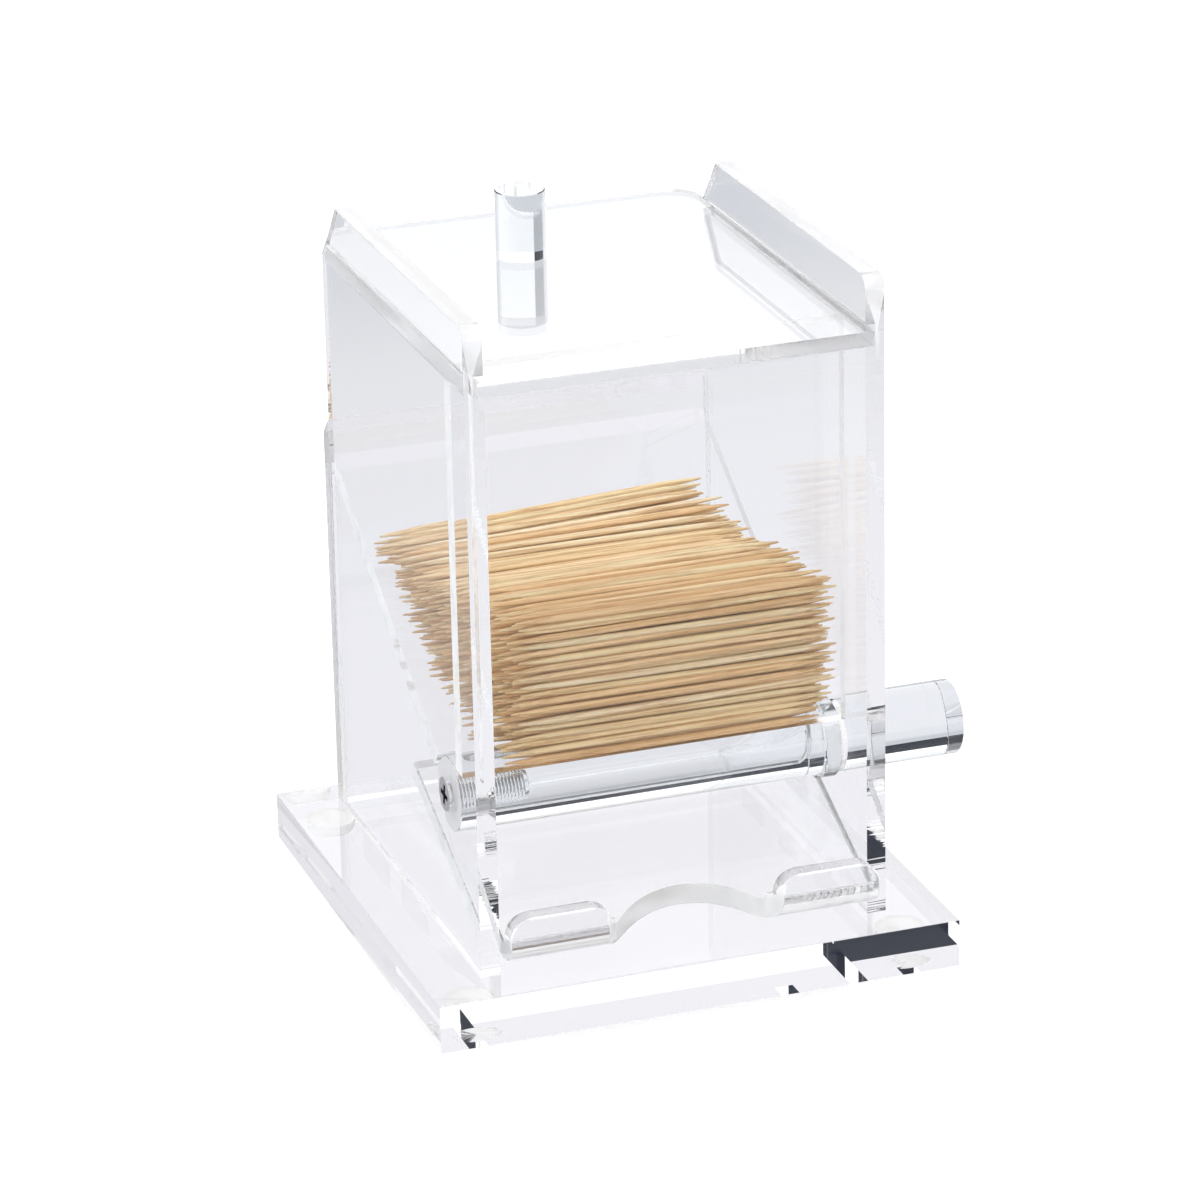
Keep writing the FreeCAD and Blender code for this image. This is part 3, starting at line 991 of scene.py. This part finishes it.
def add_stick(skin, tone_layer, place, length, radius, chance, tilt):
    """tilt raises the right end, in degrees. The draws from chance give each stick its own turn,
    slope, bend, tone and thickness."""
    turn = Matrix.Rotation(math.radians(chance.gauss(0, 0.5)), 4, "Z")
    turn = turn @ Matrix.Rotation(math.radians(-tilt), 4, "Y")
    turn = turn @ Matrix.Rotation(math.radians(chance.gauss(0, 0.25)), 4, "Y")
    bend = Vector((0, chance.gauss(0, 0.2), chance.gauss(0, 0.15))) * MM
    tone = chance.random()
    size = radius * chance.uniform(0.86, 1.0)
    rings = []
    for x, r in stick_rings(length, size):
        bent = bend * (1 - (2 * x / length) ** 2)
        ring = []
        for k in range(SIDES):
            angle = 2 * math.pi * k / SIDES
            point = turn @ Vector((x, r * math.cos(angle), r * math.sin(angle))) + bent
            ring.append(skin.verts.new(place + point))
            ring[-1][tone_layer] = tone
        rings.append(ring)
    for ring, after in zip(rings, rings[1:]):
        for k in range(SIDES):
            n = (k + 1) % SIDES
            skin.faces.new((ring[k], ring[n], after[n], after[k]))
    skin.faces.new(rings[0][::-1])
    skin.faces.new(rings[-1])


print("a stick has", len(stick_rings(1, 1)), "rings of", SIDES, "corners")

# %% Bamboo
BAMBOO_TONES = [
    (0.0, colour(235, 197, 146)), (0.2, colour(245, 210, 160)), (0.4, colour(246, 218, 174)),
    (0.6, colour(246, 222, 172)), (0.8, colour(240, 222, 178)), (1.0, colour(252, 234, 198)),
]


def wood_finish():
    """Pale bamboo. Each stick has its own tone, streaks of a few fibres and fine pores along it."""
    material, nodes, place = new_finish("bamboo")
    tone = nodes.add("Attribute", {"attribute_name": "tone"}, None, "Fac")

    def grain(length, width, shift):
        """Noise drawn out along the sticks. Each stick cuts its own slice of it."""
        scale = (1 / length, 1 / width, 1 / width)
        stretched = nodes.add("Mapping", None, {"Vector": place, "Scale": scale})
        sockets = {"Vector": stretched, "W": tone * 91 + shift, "Scale": 1.0, "Detail": 2.0}
        return nodes.add("TexNoise", {"noise_dimensions": "4D"}, sockets, "Fac")

    streak = grain(30 * MM, 0.4 * MM, 0.0)
    fibre = grain(9 * MM, 0.14 * MM, 7.0)
    patch = grain(14 * MM, 3.0 * MM, 3.0)
    base = nodes.add("ValToRGB", {"stops": BAMBOO_TONES}, {"Fac": tone}, "Color")
    warm = blend(step(patch, 0.48, 0.72) * 0.35, base, colour(236, 190, 136))
    streaked = blend(step(streak, 0.46, 0.62) * 0.7, warm, colour(212, 168, 112))
    pored = blend(step(fibre, 0.52, 0.7) * 0.5, streaked, colour(168, 112, 58))
    show(nodes, {
        "Base Color": pored,
        "Roughness": 0.45 + 0.25 * fibre,
        "Normal": nodes.add("Bump", None, {"Height": fibre, "Distance": 0.03 * MM, "Strength": 0.5}),
    })
    return material


bamboo = wood_finish()
print("finish:", bamboo.name, "with", len(BAMBOO_TONES), "tones")

# %% Lay the sticks
SLANTED = 20
STEEPEST = 3.2
SLIP = 1.5 * MM
BY_HEIGHT, BY_DEPTH = 0.932, 0.363
chance = random.Random(7)


def top_rear_first(stick):
    """Sorts the sticks that lie highest and farthest back to the front of the list."""
    return -(BY_HEIGHT * stick[0].z + BY_DEPTH * stick[0].y)


pile = bmesh.new()
tone_layer = pile.verts.layers.float.new("tone")
top_rear = sorted(sticks, key=top_rear_first)[:SLANTED]
for place, length, radius in sticks:
    tilt = 0.0
    if (place, length, radius) in top_rear:
        rank = top_rear.index((place, length, radius))
        tilt = STEEPEST * (1 - rank / len(top_rear))
        place = place + Vector((-SLIP, 0, length / 2 * math.sin(math.radians(tilt))))
    add_stick(pile, tone_layer, place, length, radius, chance, tilt)
toothpicks = as_object("toothpick_pile", pile, [bamboo])
soften(toothpicks, 60)
settle(toothpicks, "frame", "toothpicks")

# %% [markdown]
# ## Floor
#
# Small clear things are shot on white paper that is lit so brightly that it looks pure white. Clear
# plastic shows what lies behind it and mirrors what stands round it, so the paper is more than a
# background here. It could be lit by lamps, but then a white paper would need more light on the
# object too. So the paper glows by itself, and the ray's kind picks how much: white for the lens, a
# painted shade through the plastic that deepens to the rear, nearly black in a mirror image at the
# front, and matt for the rest.

# %% The floor
FLOOR_HALF = 4.0
SHADE_PER_METRE = 2.0
GLARE_FROM = (-0.11, -0.05)
# The painted shade of the paper as seen through the plastic, from the front to the rear.
PAPER_SHADE_TONES = [
    (0.0, (0.85, 0.845, 0.89, 1)), (0.5, (0.80, 0.80, 0.835, 1)), (0.7, (0.72, 0.73, 0.76, 1)),
    (0.85, (0.61, 0.63, 0.67, 1)), (1.0, (0.58, 0.60, 0.64, 1)),
]


def floor_finish():
    """Glowing paper. Through the plastic its glow is a painted shade that deepens to the rear."""
    material, nodes, place = new_finish("floor_white")
    back = nodes.add("VectorMath", {"operation": "DOT_PRODUCT"}, {0: place, 1: ALONG}, "Value")
    seen = nodes.add("LightPath", out="Is Camera Ray")
    through = nodes.add("LightPath", out="Is Transmission Ray")
    mirrored = nodes.add("LightPath", out="Is Glossy Ray")

    def glowing(matt, glow):
        """Paper that reflects a little light and gives out the rest."""
        return nodes.add("AddShader", None, {
            0: nodes.add("BsdfDiffuse", None, {"Color": matt}),
            1: nodes.add("Emission", None, {"Color": glow, "Strength": 1.0}),
        })

    # Through the plastic the paper shows a painted shade, which deepens to the rear.
    paper = nodes.add("ValToRGB", {"stops": PAPER_SHADE_TONES}, {"Fac": back * SHADE_PER_METRE}, "Color")
    glare = blend(step(back, *GLARE_FROM), (0.012, 0.014, 0.018, 1), (0.46, 0.46, 0.49, 1))
    lit = nodes.add("BsdfDiffuse", None, {"Color": (0.62, 0.62, 0.63, 1)})
    shine = glowing((0.02, 0.02, 0.02, 1), glare)
    behind = glowing((0.05, 0.05, 0.05, 1), paper)
    open_floor = glowing((0.5, 0.5, 0.5, 1), (0.62, 0.62, 0.62, 1))
    shown = nodes.add("MixShader", None, {0: mirrored, 1: lit, 2: shine})
    shown = nodes.add("MixShader", None, {0: through, 1: shown, 2: behind})
    shown = nodes.add("MixShader", None, {0: seen, 1: shown, 2: open_floor})
    show(nodes, shown)
    return material


floor_skin = bmesh.new()
corners = [(-1, -1), (1, -1), (1, 1), (-1, 1)]
floor_skin.faces.new([floor_skin.verts.new((FLOOR_HALF * x, FLOOR_HALF * y, 0)) for x, y in corners])
floor = as_object("floor", floor_skin, [floor_finish()])
print("floor:", 2 * FLOOR_HALF, "m square")

# %% [markdown]
# ## Light
#
# The light is the studio itself: a white tent on all sides with a lit backdrop. Two things in it are
# dark, and they are what draws the black streaks in the cut edges: the gap between the table and the
# backdrop, and a doorway high up behind the object. Lamps and black cards could stand there as
# objects, but a world that is worked out from the direction alone has no edges in the wrong place.
# What is matt, such as the sticks, gets a plain soft light from the upper left in front instead: it
# is what a ray finds once it has left a matt surface.

# %% The studio
CAMERA_AZIMUTH = math.radians(18.891)
FORWARD = Vector((math.sin(CAMERA_AZIMUTH), math.cos(CAMERA_AZIMUTH), 0))
SIDE = Vector((math.cos(CAMERA_AZIMUTH), -math.sin(CAMERA_AZIMUTH), 0))
DOORWAY_OUT, DOORWAY_UP = 0.932, 0.363
DOORWAY = Vector((
    -math.sin(CAMERA_AZIMUTH) * DOORWAY_OUT, math.cos(CAMERA_AZIMUTH) * DOORWAY_OUT, DOORWAY_UP,
))
DOORWAY_EDGE = (math.cos(math.radians(15)), math.cos(math.radians(13)))
BACKDROP_EDGE = (0.60, 0.68)
BACKDROP_FOOT = (0.235, 0.245)
BACKDROP_DIMS = (0.30, 0.42)
TABLE_EDGE = (-0.01, 0.0)
SOFT_LIGHT = (-0.6, 0.9)
NAVY = (0.012, 0.018, 0.034, 1)
WHITE = (1, 1, 1, 1)


def grey(level):
    return (level, level, level, 1)


def studio():
    """White all round, with what the clear plastic mirrors and refracts, and a light for the rest."""
    world = bpy.data.worlds.new("studio")
    scene.world = world
    nodes = Nodes(world)
    direction = nodes.add("TexCoord", out="Generated")

    def along(axis):
        """How far the direction looks along an axis."""
        return nodes.add("VectorMath", {"operation": "DOT_PRODUCT"}, {0: direction, 1: axis}, "Value")

    ahead, right, up = along(FORWARD), along(SIDE), along(UP)
    gap = step(ahead, *BACKDROP_EDGE) * (1 - step(up, *BACKDROP_FOOT)) * step(up, *TABLE_EDGE)
    dark = nodes.add("Clamp", None, {"Value": gap + step(along(DOORWAY), *DOORWAY_EDGE)})
    backdrop = step(ahead, *BACKDROP_EDGE) * step(up, *BACKDROP_FOOT)
    backlight = blend(step(up, *BACKDROP_DIMS), grey(1.6), grey(1.2))
    clear_sees = blend(dark, blend(backdrop, WHITE, backlight), NAVY)
    upper_left = right * -0.45 + up * 0.4 - ahead * 0.5
    matt_sees = blend(step(upper_left, *SOFT_LIGHT), (1.4, 1.4, 1.42, 1), grey(2.3))
    after_matt = step(nodes.add("LightPath", out="Diffuse Depth"), 0.4, 0.6)
    shown = blend(after_matt, clear_sees, matt_sees)
    shown = blend(nodes.add("LightPath", out="Is Camera Ray"), shown, WHITE)
    background = nodes.add("Background", None, {"Color": shown, "Strength": 1.0})
    nodes.add("OutputWorld", None, {"Surface": background})
    return nodes


print("studio:", len(studio().tree.nodes), "nodes")

# %% [markdown]
# ## Camera
#
# A small product is taken with a long lens from about a metre away, so that its upright edges stay
# nearly parallel. The camera could be aimed by a constraint, but then its roll would be lost. It is
# turned by a matrix instead, made of the three directions that it calls right, up and back.

# %% The camera
PICTURE = 1200
FOCAL_IN_PIXELS = 5518.3
SENSOR = 36.0
CAMERA_PLACE = (-0.330611, -0.964632, 0.464274)
ELEVATION = math.radians(21.261)
ROLL = math.radians(-1.25)


def place_camera():
    """A camera that looks ahead and down, turned a little about its own line of sight."""
    camera = bpy.data.objects.new("camera", bpy.data.cameras.new("camera"))
    scene.collection.objects.link(camera)
    camera.data.sensor_width = SENSOR
    camera.data.lens = FOCAL_IN_PIXELS * SENSOR / PICTURE
    ahead = FORWARD * math.cos(ELEVATION) - UP * math.sin(ELEVATION)
    over = SIDE.cross(ahead)
    right = SIDE * math.cos(ROLL) + over * math.sin(ROLL)
    top = over * math.cos(ROLL) - SIDE * math.sin(ROLL)
    turn = Matrix((right, top, -ahead)).transposed()
    camera.matrix_world = Matrix.Translation(CAMERA_PLACE) @ turn.to_4x4()
    scene.camera = camera
    print("camera: lens", round(camera.data.lens, 1), "mm")


place_camera()

# %% [markdown]
# ## Colour and bounces
#
# The Standard view shows a colour about as it is written. A ray that crosses the box passes up to a
# dozen faces and is mirrored inside the edges, so it needs many more bounces than usual, or the
# edges turn black.

# %% View and bounces
scene.view_settings.view_transform = "Standard"
scene.cycles.max_bounces = 32
scene.cycles.transmission_bounces = 32
scene.cycles.glossy_bounces = 24
scene.cycles.transparent_max_bounces = 32
print("bounces:", scene.cycles.max_bounces)

# %% [markdown]
# ## Sizes
#
# Dressing the solids must not change the object's size.

# %% Finish
print("scene built")
